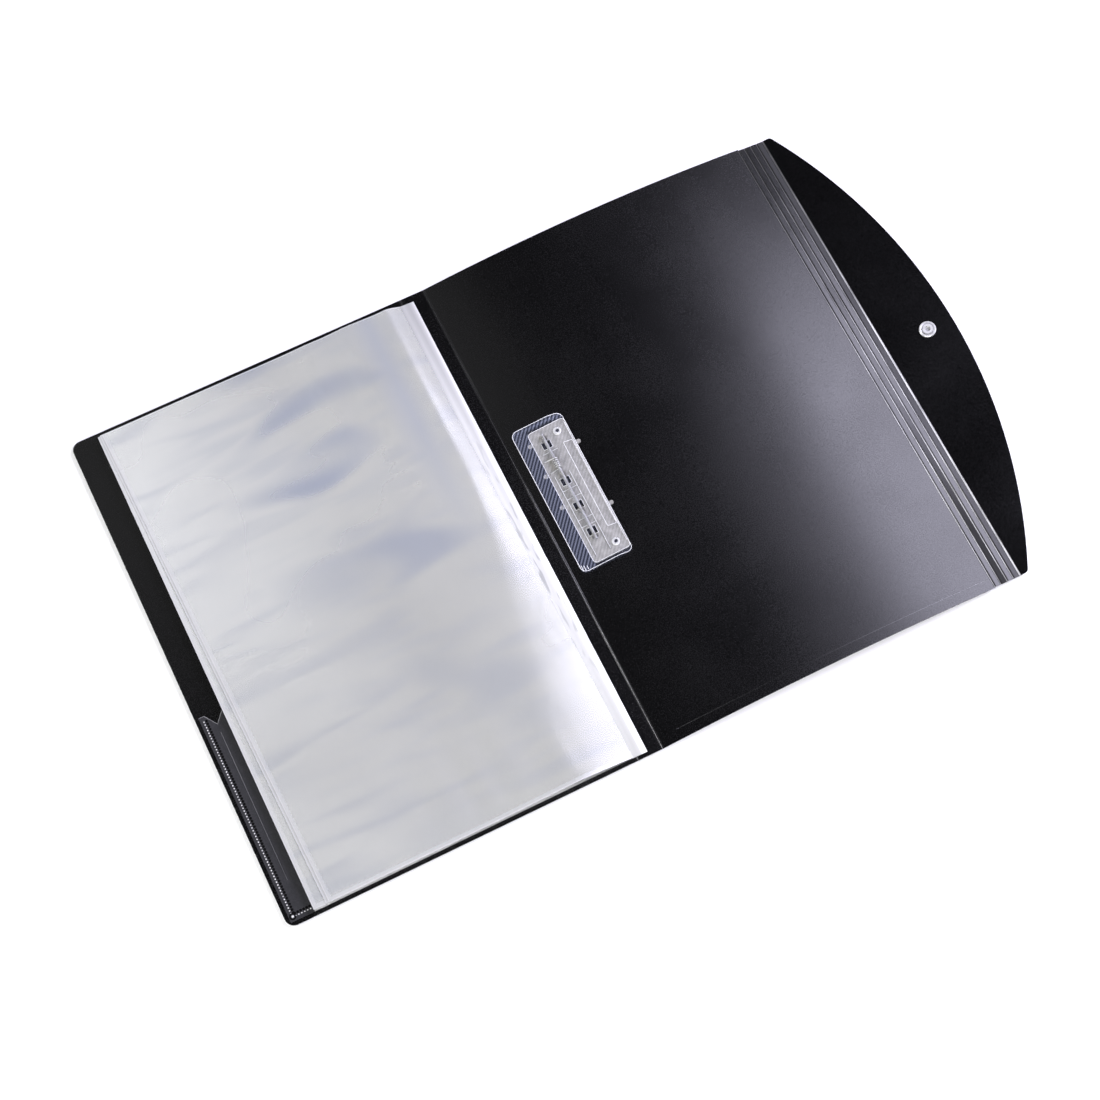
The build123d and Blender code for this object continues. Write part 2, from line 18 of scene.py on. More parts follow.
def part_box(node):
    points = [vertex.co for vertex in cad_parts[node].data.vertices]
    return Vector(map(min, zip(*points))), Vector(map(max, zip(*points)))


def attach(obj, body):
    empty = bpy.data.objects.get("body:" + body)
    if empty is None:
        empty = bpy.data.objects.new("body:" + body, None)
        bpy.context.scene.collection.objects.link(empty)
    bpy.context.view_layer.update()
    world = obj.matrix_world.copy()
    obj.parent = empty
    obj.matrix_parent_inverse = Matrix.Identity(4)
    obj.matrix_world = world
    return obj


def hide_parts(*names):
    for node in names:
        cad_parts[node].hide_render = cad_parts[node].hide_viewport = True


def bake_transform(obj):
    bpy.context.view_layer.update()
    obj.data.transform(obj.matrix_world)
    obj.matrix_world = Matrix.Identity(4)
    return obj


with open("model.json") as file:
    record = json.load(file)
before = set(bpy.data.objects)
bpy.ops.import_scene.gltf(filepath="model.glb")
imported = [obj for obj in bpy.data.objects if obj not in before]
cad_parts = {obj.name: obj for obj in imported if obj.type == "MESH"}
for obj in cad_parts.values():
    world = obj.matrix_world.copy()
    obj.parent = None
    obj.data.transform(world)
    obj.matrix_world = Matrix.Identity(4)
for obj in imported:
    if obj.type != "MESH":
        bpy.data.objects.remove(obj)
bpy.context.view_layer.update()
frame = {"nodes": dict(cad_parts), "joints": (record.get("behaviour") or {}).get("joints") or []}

# %% [markdown]
# ## The camera
#
# The book is seen from above its lower left corner, so its long side runs up to the right. A camera could be dragged
# until the picture looks right, but the corners of the covers were measured in the photograph instead, and the eye,
# the point it looks at, its roll and its lens are the ones that put those corners back in their places.

# %% Place the camera
eye = Vector((-0.23084, -0.44996, 1.31455))
target = Vector((-0.02888, -0.02540, 0.0))
roll = math.radians(-0.743)

camera = bpy.data.objects.new("camera", bpy.data.cameras.new("camera"))
camera.data.sensor_width = 36.0
camera.data.lens = 73.613
camera.location = eye
camera.rotation_mode = "QUATERNION"
camera.rotation_quaternion = (target - eye).to_track_quat("-Z", "Y") @ Quaternion((0, 0, 1), roll)
bpy.context.scene.collection.objects.link(camera)
bpy.context.scene.camera = camera
print("camera", round((target - eye).length, 3), "m away, lens", camera.data.lens)

# %% [markdown]
# ## Surfaces from arrays
#
# Film, webs and weld dots are all surfaces over a grid of two parameters. One could place every vertex in a loop, or
# model by hand, but a whole array of points worked out at once is shorter, and the same few lines turn any such array
# into a mesh.


# %% Turn grids of points into pieces
def grid_faces(index):
    """Quads between neighbouring rows and columns of point numbers: rows along x and columns along y face up."""
    return np.stack([index[:-1, :-1], index[1:, :-1], index[1:, 1:], index[:-1, 1:]], axis=-1).reshape(-1, 4)


def ring_faces(index):
    """The same quads for rows that go round and close on the first row again."""
    return grid_faces(np.concatenate([index, index[:1]]))


def make_piece(name, points, faces, uv=None):
    """A smooth-shaded mesh object from an array of points and an array or list of faces, with a UV pair per point."""
    mesh = bpy.data.meshes.new(name)
    face_list = faces if isinstance(faces, list) else faces.tolist()
    mesh.from_pydata(np.asarray(points, float).reshape(-1, 3), [], face_list)
    if uv is not None:
        corner = np.empty(len(mesh.loops), np.int32)
        mesh.loops.foreach_get("vertex_index", corner)
        layer = mesh.uv_layers.new(name="across_along")
        layer.data.foreach_set("uv", np.asarray(uv, np.float32).reshape(-1, 2)[corner].ravel())
    mesh.shade_smooth()
    piece = bpy.data.objects.new(name, mesh)
    bpy.context.scene.collection.objects.link(piece)
    return piece


def closed_strip(name, profile, along, across, along_uv):
    """A closed profile in x and z, first its upper half and then its lower half backwards, carried along y: rings of
    quads, and at both ends quads between the halves. Across and along_uv are the UV values of the two directions."""
    points = np.empty((len(profile), len(along), 3))
    points[..., 0], points[..., 1], points[..., 2] = profile[:, :1], along, profile[:, 1:]
    index = np.arange(points[..., 0].size).reshape(points.shape[:2])
    n, back = len(profile) // 2, index[::-1]
    ends = [np.stack([index[: n - 1, c], index[1:n, c], back[1:n, c], back[: n - 1, c]], axis=-1) for c in (0, -1)]
    ends[0] = ends[0][:, ::-1]
    uv = np.stack(np.broadcast_arrays(across[:, None], along_uv), axis=-1)
    return make_piece(name, points, np.concatenate([ring_faces(index), *ends]), uv)


def smooth_step(t):
    """0 below 0, 1 above 1, and 3 t squared minus 2 t cubed between them."""
    t = np.clip(t, 0.0, 1.0)
    return t * t * (3.0 - 2.0 * t)


# %% [markdown]
# ## Finishes from nodes
#
# Every finish is a Principled shader with a few texture nodes in front of it. Two helpers keep that readable: one
# starts a finish and sets its uniform values on the shader's own sockets, the other adds a node and joins its inputs.


# %% Start finishes and add nodes
def start_finish(name, **values):
    """A material whose Principled shader has the given uniform values; underscores stand for spaces."""
    finish = bpy.data.materials.new(name)
    finish.use_nodes = True
    shader = finish.node_tree.nodes["Principled BSDF"]
    for key, value in values.items():
        shader.inputs[key.replace("_", " ")].default_value = value
    return finish, finish.node_tree, shader


def add_node(tree, kind, inputs=None, **settings):
    """A new node with its settings; an input is a socket to be joined or a value to be set."""
    node = tree.nodes.new("ShaderNode" + kind)
    for key, value in settings.items():
        setattr(node, key, value)
    shown = [socket for socket in node.inputs if socket.enabled]
    for key, value in (inputs or {}).items():
        socket = shown[key] if isinstance(key, int) else next(s for s in shown if s.name == key)
        if isinstance(value, bpy.types.NodeSocket):
            tree.links.new(value, socket)
        else:
            socket.default_value = value
    return node


def blend_colours(tree, factor, first, second):
    """The colour between first and second at the given factor."""
    mix = add_node(tree, "Mix", {0: factor, "A": (*first, 1.0), "B": (*second, 1.0)}, data_type="RGBA")
    return mix.outputs["Result"]


def spread(tree, value, low, high, to_low, to_high):
    """A value carried from one range to another, and kept inside it."""
    return add_node(
        tree, "MapRange", {"Value": value, "From Min": low, "From Max": high, "To Min": to_low, "To Max": to_high}
    ).outputs["Result"]


def ramped(tree, value, stops):
    """A grey that follows a value through a list of places and brightnesses."""
    ramp = add_node(tree, "ValToRGB", {"Fac": value})
    for i, (spot, grey) in enumerate(stops):
        stop = ramp.color_ramp.elements[i] if i < 2 else ramp.color_ramp.elements.new(spot)
        stop.position, stop.color = spot, (grey, grey, grey, 1.0)
    return ramp.outputs["Color"]


def combine(tree, first, second, operation):
    """One of the sums of two values that a Math node knows."""
    return add_node(tree, "Math", {0: first, 1: second}, operation=operation).outputs["Value"]


def dress(node_names, finish):
    """Gives CAD nodes a finish in place of the plain one that they came with."""
    for name in node_names:
        frame["nodes"][name].data.materials.clear()
        frame["nodes"][name].data.materials.append(finish)
    print(finish.name, "on", ", ".join(node_names))


# %% [markdown]
# ## The black cover sheet
#
# The cover is one sheet of black polypropylene with a fine sand grain pressed into it. The grain breaks its gloss into
# tiny sparkles, so a light that the sheet mirrors shows as a soft grey sheen and not as an image. A fine noise bump
# gives the grain, and a broad one lets the gloss vary as it does on a sheet that has been handled.


# %% Finish the cover sheet
def grained_plastic(name, dark, pale, roughness, grain, foot_roughness=0.0):
    """Black sheet plastic: fine noise for the grain's bump and sparkle, broad noise for the gloss; a foot roughness
    takes the gloss away towards the foot of the page."""
    finish, tree, shader = start_finish(name, Specular_IOR_Level=0.42)
    place = add_node(tree, "TexCoord").outputs["Object"]
    fine = add_node(tree, "TexNoise", {"Vector": place, "Scale": 1500.0, "Detail": 2.0, "Roughness": 0.6})
    broad = add_node(tree, "TexNoise", {"Vector": place, "Scale": 14.0, "Detail": 3.0})
    colour = blend_colours(tree, spread(tree, fine.outputs["Fac"], 0.42, 0.68, 0.0, 1.0), dark, pale)
    tree.links.new(colour, shader.inputs["Base Color"])
    gloss = spread(tree, broad.outputs["Fac"], 0.3, 0.7, roughness - 0.03, roughness + 0.04)
    sparkle = spread(tree, fine.outputs["Fac"], 0.3, 0.7, -0.05, 0.05)
    up_page = add_node(tree, "SeparateXYZ", {"Vector": place}).outputs["Y"]
    wear_and_painted_sheen = spread(tree, up_page, -0.03, -0.13, 0.0, foot_roughness)
    gloss = combine(tree, combine(tree, gloss, sparkle, "ADD"), wear_and_painted_sheen, "ADD")
    tree.links.new(gloss, shader.inputs["Roughness"])
    bump = add_node(tree, "Bump", {"Height": fine.outputs["Fac"], "Strength": grain, "Distance": 0.0002})
    tree.links.new(bump.outputs["Normal"], shader.inputs["Normal"])
    return finish


cover_dark, cover_pale = (0.0009, 0.0009, 0.0010), (0.0040, 0.0039, 0.0043)
dress(["front_cover", "spine_panel", "back_cover"], grained_plastic("cover_satin", cover_dark, cover_pale, 0.25, 0.05))
dress(["closing_flap"], grained_plastic("flap_satin", cover_dark, cover_pale, 0.17, 0.03))
strip_dark, strip_pale = (0.0020, 0.0020, 0.0022), (0.0060, 0.0059, 0.0065)
dress(["gusset_strip_1", "gusset_strip_3"], grained_plastic("gusset_satin", strip_dark, strip_pale, 0.21, 0.04))
dress(["gusset_strip_2"], grained_plastic("gusset_rubbed", strip_dark, strip_pale, 0.22, 0.04, 0.5))
dress(["gusset_strip_4"], grained_plastic("gusset_matte", strip_dark, strip_pale, 0.42, 0.04))
pocket_satin = grained_plastic("pocket_satin", (0.021, 0.021, 0.0235), (0.033, 0.0325, 0.037), 0.36, 0.05)
dress(["inner_pocket"], pocket_satin)

# %% [markdown]
# ## The creases
#
# A crease is a score: the sheet is pressed thin along a line, so a shiny web is left that bends as a hinge. The solid
# model has a narrow gap there. Each web here is a closed profile, a groove between two low ridges above and a rounded
# belly below, carried along the crease. It bends between the slopes of its two panels.

# %% Lay a web into each crease
sheet_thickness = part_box("front_cover")[1].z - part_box("front_cover")[0].z
web_half = 0.00085
ridge = 0.00009
joint_place = {j["name"]: np.array(j["pos_m"]) for j in frame["joints"]}


def crease_finish(name, stops, head, head_share):
    """A glossy web whose pale line is partly the whitening of the stretched sheet and partly a painted highlight, set
    by the place across the web, by patches, and from the head share at the head to all of it lower down."""
    finish, tree, shader = start_finish(name, Roughness=0.24, Specular_IOR_Level=0.5)
    coords = add_node(tree, "TexCoord")
    place = coords.outputs["Object"]
    stress = add_node(tree, "TexNoise", {"Vector": place, "Scale": 55.0, "Detail": 2.0}).outputs["Fac"]
    up_page = add_node(tree, "SeparateXYZ", {"Vector": place}).outputs["Y"]
    to_foot = spread(tree, up_page, head, head - 0.16, head_share, 1.0)
    across = add_node(tree, "SeparateXYZ", {"Vector": coords.outputs["UV"]}).outputs["X"]
    whitening_and_highlight = combine(tree, combine(tree, stress, to_foot, "MULTIPLY"), ramped(tree, across, stops), "MULTIPLY")
    colour = blend_colours(tree, whitening_and_highlight, (0.006, 0.006, 0.007), (0.85, 0.85, 0.86))
    tree.links.new(colour, shader.inputs["Base Color"])
    return finish


groove_line = crease_finish("groove_line", [(0.40, 0.0), (0.60, 0.0), (0.46, 1.7), (0.54, 1.7)], 0.06, 0.15)
ridge_line = crease_finish("ridge_line", [(0.10, 0.0), (0.55, 0.0), (0.18, 1.0), (0.44, 1.0)], 0.15, 0.2)
flap_line = crease_finish("flap_line", [(0.12, 0.0), (0.88, 0.0), (0.25, 1.2), (0.72, 1.2)], 0.15, 0.2)


def crease_web(name, joint, bodies, slopes, half_length, finish):
    """Across the crease, t from -1 to 1 runs along the first panel's slope and then the second's; above, two ridges
    stand at t of half and fall into a groove at 0, and below the belly covers the panels' edges."""
    t = np.linspace(-1.0, 1.0, 17)
    turn = np.radians(np.where(t < 0, slopes[0], slopes[1]))
    run = np.stack([t * web_half * np.cos(turn), t * web_half * np.sin(turn)], axis=-1)
    up = np.stack([-np.sin(turn), np.cos(turn)], axis=-1)
    top = ridge * (np.sin(np.pi * np.abs(t)) ** 2 * 1.6 - 1.4 * (1 - np.abs(t)) ** 4)
    belly = -sheet_thickness - ridge * (1.0 - t**4)
    above, below = run + up * top[:, None], run + up * belly[:, None]
    profile = joint_place[joint][[0, 2]] + np.concatenate([above, below[::-1]])
    along = np.linspace(-half_length, half_length, 3)
    web = closed_strip(name, profile, along, 0.5 + 0.5 * np.concatenate([t, np.ones_like(t)]), along)
    web.data.materials.append(finish)
    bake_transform(web)
    return web


bow_start, bow_end = 8.5, -7.4
crease_plan = [
    ("spine_fold", ("front_cover", "spine"), (0.0, 0.0), 0.1696, groove_line),
    ("back_fold", ("spine", "back_cover"), (0.0, bow_start), 0.1696, groove_line),
    ("gusset_crease_1", ("back_cover", "gusset_1"), (bow_end, -10.0), 0.1692, ridge_line),
    ("gusset_crease_2", ("gusset_1", "gusset_2"), (-10.0, -4.0), 0.1692, ridge_line),
    ("gusset_crease_3", ("gusset_2", "gusset_3"), (-4.0, -8.0), 0.1692, ridge_line),
    ("gusset_crease_4", ("gusset_3", "gusset_4"), (-8.0, -4.0), 0.1692, ridge_line),
    ("flap_crease", ("gusset_4", "flap"), (-4.0, 8.0), 0.1692, flap_line),
]
webs = [crease_web(plan[0] + "_web", *plan) for plan in crease_plan]
print(len(webs), "crease webs")

# %% [markdown]
# ## Lines pressed and welded into the sheet
#
# A press leaves fine raised lines in the sheet: one inside the back cover's foot and a fold line on the half
# pocket. The half pocket itself is welded by a row of hot points, each of which leaves a pale dome beside a dark
# pinhole. Lines are one small round profile carried along a path, and the dots are one small dome repeated.


# %% Carry a bead along a path and repeat a dome
def bead(name, path, radius, closed=False, sides=8):
    """A round tube: at each point of the path a circle stands square to the path's direction; open ends are capped."""
    path = np.asarray(path, float)
    if closed:
        along = np.roll(path, -1, axis=0) - np.roll(path, 1, axis=0)
    else:
        along = np.gradient(path, axis=0)
    along = along / np.linalg.norm(along, axis=1, keepdims=True)
    side = np.cross(along, (0.0, 0.0, 1.0))
    side = side / np.linalg.norm(side, axis=1, keepdims=True)
    up = np.cross(side, along)
    turn = np.linspace(0.0, 2.0 * np.pi, sides, endpoint=False)
    ring = np.cos(turn)[:, None, None] * side + np.sin(turn)[:, None, None] * up
    points = path + radius * ring
    index = np.arange(sides * len(path)).reshape(sides, len(path))
    if closed:
        return make_piece(name, points, ring_faces(np.concatenate([index, index[:, :1]], axis=1)))
    return make_piece(name, points, ring_faces(index).tolist() + [index[:, 0].tolist(), index[::-1, -1].tolist()])


def dome_row(name, places, radius, height):
    """Low domes on a row of places: a foot circle, a smaller circle at seven tenths of the height, and a top."""
    here, after = np.arange(8), np.roll(np.arange(8), -1)
    turn = here * np.pi / 4
    circle = np.stack([np.cos(turn), np.sin(turn), np.zeros(8)], axis=-1)
    dome = np.concatenate([radius * circle, 0.65 * radius * circle + (0, 0, 0.7 * height), [[0, 0, height]]])
    quads = np.stack([here, after, 8 + after, 8 + here], axis=-1)
    caps = np.stack([8 + here, 8 + after, np.full(8, 16)], axis=-1)
    places = np.asarray(places, float)
    points = places[:, None, :] + dome
    shift = len(dome) * np.arange(len(places))[:, None, None]
    faces = (quads + shift).reshape(-1, 4).tolist() + (caps + shift).reshape(-1, 3).tolist()
    return make_piece(name, points, faces)


# %% Weld the half pocket
def mottled(name, dark, pale, scale, roughness):
    """Plain plastic whose colour wanders a little between two greys."""
    finish, tree, shader = start_finish(name, Roughness=roughness)
    place = add_node(tree, "TexCoord").outputs["Object"]
    cloud = add_node(tree, "TexNoise", {"Vector": place, "Scale": scale, "Detail": 2.0})
    tree.links.new(blend_colours(tree, cloud.outputs["Fac"], dark, pale), shader.inputs["Base Color"])
    return finish


pale_weld = mottled("pale_weld", (0.25, 0.25, 0.26), (0.95, 0.95, 0.96), 300.0, 0.3)
dark_pinhole = mottled("dark_pinhole", (0.001, 0.001, 0.001), (0.003, 0.003, 0.003), 300.0, 0.6)
dark_pinhole.node_tree.nodes["Principled BSDF"].inputs["Specular IOR Level"].default_value = 0.05
pressed_edge = mottled("pressed_edge", (0.10, 0.10, 0.11), (0.22, 0.22, 0.235), 40.0, 0.28)
# The pale beads on the notch's cut edges and along the half pocket's top edge are a painted highlight.
notch_highlight = mottled("notch_highlight", (0.16, 0.16, 0.17), (0.42, 0.42, 0.44), 90.0, 0.28)

half_low, half_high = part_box("inner_pocket")
dot_pitch = 0.0019
seam_inset = 0.0025
seam_x, seam_y = half_low.x + seam_inset, half_low.y + seam_inset + 0.0005
up_the_edge = np.arange(seam_y + dot_pitch, half_high.y - 0.002, dot_pitch)
along_the_foot = np.arange(seam_x + dot_pitch, half_high.x - 0.004, dot_pitch)


def seam_places(offset):
    """Dot places up the outer edge and along the foot, moved inwards by the offset."""
    edge_row = np.stack(np.broadcast_arrays(seam_x + offset, up_the_edge, half_high.z - 0.00002), axis=-1)
    foot_row = np.stack(np.broadcast_arrays(along_the_foot, seam_y + offset, half_high.z - 0.00002), axis=-1)
    return np.concatenate([edge_row, foot_row])


ring_radius = 0.0017
turn = np.linspace(0.0, 2.0 * np.pi, 24, endpoint=False)
ring_x, ring_y = seam_x + ring_radius * np.cos(turn), seam_y + ring_radius * np.sin(turn)
ring_path = np.stack([ring_x, ring_y, np.full(24, half_high.z - 0.0003)], axis=-1)
corner_place = [(seam_x, seam_y, half_high.z - 0.00002)]
notch_x, notch_point, notch_width, notch_depth = half_low.x + 0.0036, 0.0055, 0.0123, 0.008
notch_path = np.array([(notch_x, half_high.y, half_high.z),
                       (notch_x + notch_point, half_high.y - notch_depth, half_high.z),
                       (notch_x + notch_width, half_high.y, half_high.z)])
fold_x = half_low.x + 0.0085
fold_path = np.array([(fold_x, half_low.y + 0.024, half_high.z), (fold_x + 0.0004, half_low.y + 0.124, half_high.z)])
top_path = np.array([(half_low.x, half_high.y, half_high.z - 0.0002), (notch_x, half_high.y, half_high.z - 0.0002)])
seam_pieces = [
    (dome_row("weld_domes", seam_places(-0.0003), 0.00046, 0.00026), pale_weld),
    (dome_row("weld_pinholes", seam_places(0.0013), 0.00098, 0.00012), dark_pinhole),
    (bead("weld_corner_ring", ring_path, 0.0006, closed=True), dark_pinhole),
    (dome_row("weld_corner_dome", corner_place, 0.0008, 0.0003), pale_weld),
    (bead("notch_edge", notch_path, 0.00016), notch_highlight),
    (bead("pocket_fold_line", fold_path, 0.00012), pressed_edge),
    (bead("pocket_top_tick", top_path, 0.00022), notch_highlight),
]
for piece, finish in seam_pieces:
    piece.data.materials.append(finish)
    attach(piece, "front_cover")
print(len(up_the_edge) + len(along_the_foot), "weld points on the half pocket")

# %% Press the line into the back cover
crease_b, crease_1 = joint_place["back_fold"], joint_place["gusset_crease_1"]
back_bow = 0.008
chord = crease_1 - crease_b
half_chord = np.linalg.norm(chord) / 2
chord_up = np.array([-chord[2], 0.0, chord[0]]) / (2 * half_chord)
bow_radius = (half_chord**2 + back_bow**2) / (2 * back_bow)
bow_centre = (crease_b + crease_1) / 2 + chord_up * (back_bow - bow_radius)


def on_back_cover(x, y):
    """Points of the bowed cover's inside: height is that of a circle through the two creases and the crown."""
    x, y = np.broadcast_arrays(x, y)
    return np.stack([x, y, bow_centre[2] + np.sqrt(bow_radius**2 - (x - bow_centre[0]) ** 2)], axis=-1)


line_inset = 0.0068
cover_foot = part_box("back_cover")[0].y
line_x = np.linspace(crease_b[0] + 0.012, crease_1[0] - 0.002, 60)
line = bead("pressed_line", on_back_cover(line_x, cover_foot + line_inset) - (0, 0, 0.00007), 0.00016)
# The line's colour runs from black on the left of the cover to pale grey on its right, a painted sheen where the
# cover's own sheen lies.
line_gloss, tree, shader = start_finish("line_gloss", Roughness=0.2)
over_cover = add_node(tree, "SeparateXYZ", {"Vector": add_node(tree, "TexCoord").outputs["Object"]}).outputs["X"]
wear_and_painted_sheen = spread(tree, over_cover, 0.07, 0.17, 0.0, 1.0)
tree.links.new(blend_colours(tree, wear_and_painted_sheen, (0.006, 0.006, 0.007), (0.17, 0.17, 0.185)), shader.inputs["Base Color"])
line.data.materials.append(line_gloss)
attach(line, "back_cover")
print("pressed line", round(1000 * line_inset, 1), "mm inside the foot")

# %% [markdown]
# ## The film of the pockets
#
# Each pocket is two films of clear polypropylene, welded together at the outer edge and the foot. One film is nearly
# invisible, but light is lost and scattered at every surface, so twenty pockets together look silver. A single opaque
# sheet with a silver paint would look alike only from one side. Here every film lets most of the light through and
# scatters some, and the pile makes the silver by itself. The welds are whiter bars along two edges, found from the
# film's own UV map.

# %% Finish the film
leaf_low, leaf_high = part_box("pocket_leaf_01")
leaf_length = leaf_high.x - leaf_low.x
leaf_height = leaf_high.y - leaf_low.y

film_clear, tree, shader = start_finish("film_clear", Metallic=0.18, Specular_IOR_Level=0.7)
coords = add_node(tree, "TexCoord")
across = add_node(tree, "SeparateXYZ", {"Vector": coords.outputs["UV"]})
bar_width = 0.004


def weld_and_edge_highlight(share, length):
    """A pale weld bar along an edge and a painted highlight on its cut edge, from how far across the film a point is.
    """
    distance = combine(tree, share, length / bar_width, "MULTIPLY")
    return ramped(tree, distance, [(0.0, 1.0), (1.0, 0.0), (0.15, 1.0), (0.22, 0.5), (0.58, 0.45), (0.74, 0.0)])


def streaks(scale, low, high):
    """Soft streaks that run across the page: noise on coordinates squeezed along the page, eased in and out."""
    lean = (0.0, 0.0, -0.12)
    drawn = add_node(tree, "Mapping", {"Vector": coords.outputs["Object"], "Rotation": lean, "Scale": scale})
    drawn = drawn.outputs["Vector"]
    noise = add_node(tree, "TexNoise", {"Vector": drawn, "Scale": 1.0, "Detail": 0.8, "Distortion": 0.4})
    eased = {"Value": noise.outputs["Fac"], "From Min": low, "From Max": high}
    return add_node(tree, "MapRange", eased, interpolation_type="SMOOTHSTEP").outputs["Result"]


outer_weld_and_edge_highlight, foot_weld_and_edge_highlight = weld_and_edge_highlight(across.outputs["X"], leaf_length), weld_and_edge_highlight(across.outputs["Y"], leaf_height)
welds_and_edge_highlights = combine(tree, outer_weld_and_edge_highlight, foot_weld_and_edge_highlight, "MAXIMUM")
# The open head has no weld: the pale line at its cut edge is a painted highlight.
from_head = combine(tree, combine(tree, 1.0, across.outputs["Y"], "SUBTRACT"), leaf_height / bar_width, "MULTIPLY")
head_edge_highlight = ramped(tree, from_head, [(0.14, 0.6), (0.20, 0.0)])
welds_and_edge_highlights = combine(tree, welds_and_edge_highlights, head_edge_highlight, "MAXIMUM")
near_head = spread(tree, across.outputs["Y"], 0.25, 0.75, 0.15, 1.0)
near_edge = spread(tree, across.outputs["X"], 0.55, 0.05, 0.0, 1.0)
mid_page = ramped(tree, across.outputs["X"], [(0.22, 0.0), (1.0, 0.2), (0.46, 1.0), (0.78, 1.0)])
# Bluish dark streaks over the middle of the page, beside the binding in the upper half, and along the wrinkles are
# painted shade in the film's colour.
dark_streak_area = combine(tree, spread(tree, near_head, 0.15, 1.0, 0.36, 1.0), mid_page, "MULTIPLY")
painted_dark_streaks = combine(tree, streaks((9.0, 30.0, 1.0), 0.48, 0.70), dark_streak_area, "MULTIPLY")
beside_binding = ramped(tree, across.outputs["X"], [(0.0, 0.0), (1.0, 0.0), (0.80, 0.0), (0.88, 0.55), (0.94, 0.0)])
upper_half = spread(tree, across.outputs["Y"], 0.45, 0.75, 0.0, 1.0)
painted_dark_streaks = combine(tree, painted_dark_streaks, combine(tree, beside_binding, upper_half, "MULTIPLY"), "MAXIMUM")
wrinkles = streaks((16.0, 95.0, 1.0), 0.42, 0.80)
painted_dark_shading = combine(tree, painted_dark_streaks, combine(tree, wrinkles, 0.32, "MULTIPLY"), "MAXIMUM")
# The film's grey is painted paler towards its outer edge and its head: painted light.
brightness = combine(tree, near_edge, spread(tree, near_head, 0.0, 1.0, 0.4, 1.0), "MULTIPLY")
grey = blend_colours(tree, brightness, (0.675, 0.68, 0.645), (0.865, 0.875, 0.845))
streak_shaded_grey = add_node(tree, "Mix", {0: painted_dark_shading, "A": grey, "B": (0.46, 0.495, 0.57, 1.0)}, data_type="RGBA")
weld_and_highlight_white = (0.60, 0.60, 0.61, 1.0)
white = add_node(tree, "Mix", {0: welds_and_edge_highlights, "A": streak_shaded_grey.outputs["Result"], "B": weld_and_highlight_white}, data_type="RGBA")
tree.links.new(white.outputs["Result"], shader.inputs["Base Color"])
haze = add_node(tree, "TexNoise", {"Vector": coords.outputs["Object"], "Scale": 6.0, "Detail": 2.0}).outputs["Fac"]
clear = spread(tree, haze, 0.3, 0.7, 0.26, 0.36)
opaque = add_node(tree, "Mix", {0: welds_and_edge_highlights, "A": clear, "B": 0.9}, data_type="FLOAT")
tree.links.new(opaque.outputs["Result"], shader.inputs["Alpha"])
near_binding = spread(tree, across.outputs["X"], 0.78, 0.90, 0.0, 0.09)
dulled = combine(tree, spread(tree, haze, 0.3, 0.7, 0.22, 0.30), near_binding, "ADD")
tree.links.new(dulled, shader.inputs["Roughness"])
bump = add_node(tree, "Bump", {"Height": wrinkles, "Strength": 0.09, "Distance": 0.00027})
tree.links.new(bump.outputs["Normal"], shader.inputs["Normal"])
film_clear.surface_render_method = "BLENDED"
print("film of", round(1000 * leaf_length, 1), "x", round(1000 * leaf_height, 1), "mm")

# %% [markdown]
# ## The twenty pockets
#
# A cloth simulation could settle the pile, but film this stiff hardly drapes: it lies flat, lifts in long shallow
# waves, and is pressed together where it is bound. So the height of each film is worked out. All pockets share one
# wave, and higher ones take more of it, so no film passes through the next. Near the binding the pile is squeezed to
# a third, and where the clip comes down on it in the closed book it stays low. The upper pockets have been turned
# before and no longer lie square on the pile, so their outer edges are drawn in towards the foot and the edges of the
# lower ones show.


# %% Make the pockets
leaf_count = 20
leaf_names = [f"pocket_leaf_{k:02d}" for k in range(1, leaf_count + 1)]
level = np.array([(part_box(n)[0].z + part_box(n)[1].z) / 2 for n in leaf_names])
inner_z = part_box("front_cover")[1].z
shifted = np.array([0.0030, 0.0016] + [0.0] * (leaf_count - 2))
unsquare = 0.0003 + 0.0003 * np.abs(np.sin(2.3 * np.arange(4, leaf_count + 1)))
drawn_in = np.concatenate([[0.0068, 0.0063, 0.0], unsquare])
fold = 0.0006  # share of the first and last cells, which keep the shading at the folds narrow
across_steps = np.concatenate([[0.0], np.linspace(fold, 0.88, 44), np.linspace(0.88, 1.0 - fold, 21)[1:], [1.0]])
along_steps = np.concatenate([[0.0], np.linspace(fold, 1.0, 95)])


def shared_wave(u, v):
    """Three long sine waves that cross, most of them along the page, between 0 and 1, dying out at the binding."""
    wave = 0.45 * np.sin(2 * np.pi * (0.45 * u + 2.1 * v) + 0.6)
    wave = wave + 0.35 * np.sin(2 * np.pi * (0.9 * u - 1.3 * v + 0.1 * np.sin(5.0 * v)) + 2.1)
    wave = wave + 0.20 * np.sin(2 * np.pi * (0.7 * u + 5.2 * v + 0.15 * np.sin(7.0 * u)) + 4.0)
    return (0.5 + 0.5 * wave) * (1.0 - smooth_step((u - 0.8) / 0.2))


def edge_ripple(u, v):
    """Short waves along the outer edge that fade within an eighth of the pocket's width, between 0 and 1."""
    ripple = 0.5 + 0.3 * np.sin(2 * np.pi * 5.0 * v + 0.4) + 0.2 * np.sin(2 * np.pi * 8.3 * v + 1.9)
    return ripple * (1.0 - smooth_step(u / 0.13))


def crinkle(u, v):
    """Short folds beside the binding about the middle of the page: one sine along the edge times one away from it,
    whose phases wander, between 0 and 1."""
    along_edge = np.sin(2 * np.pi * (9.0 * v + 0.35 * np.sin(13.0 * v)))
    from_edge = np.sin(2 * np.pi * (19.0 * u + 0.5 * np.sin(27.0 * v)))
    folds = (0.5 + 0.5 * along_edge * from_edge) * np.exp(-(((v - 0.45) / 0.2) ** 2))
    return folds * smooth_step((u - 0.90) / 0.05) * (1.0 - smooth_step((u - 0.97) / 0.03))


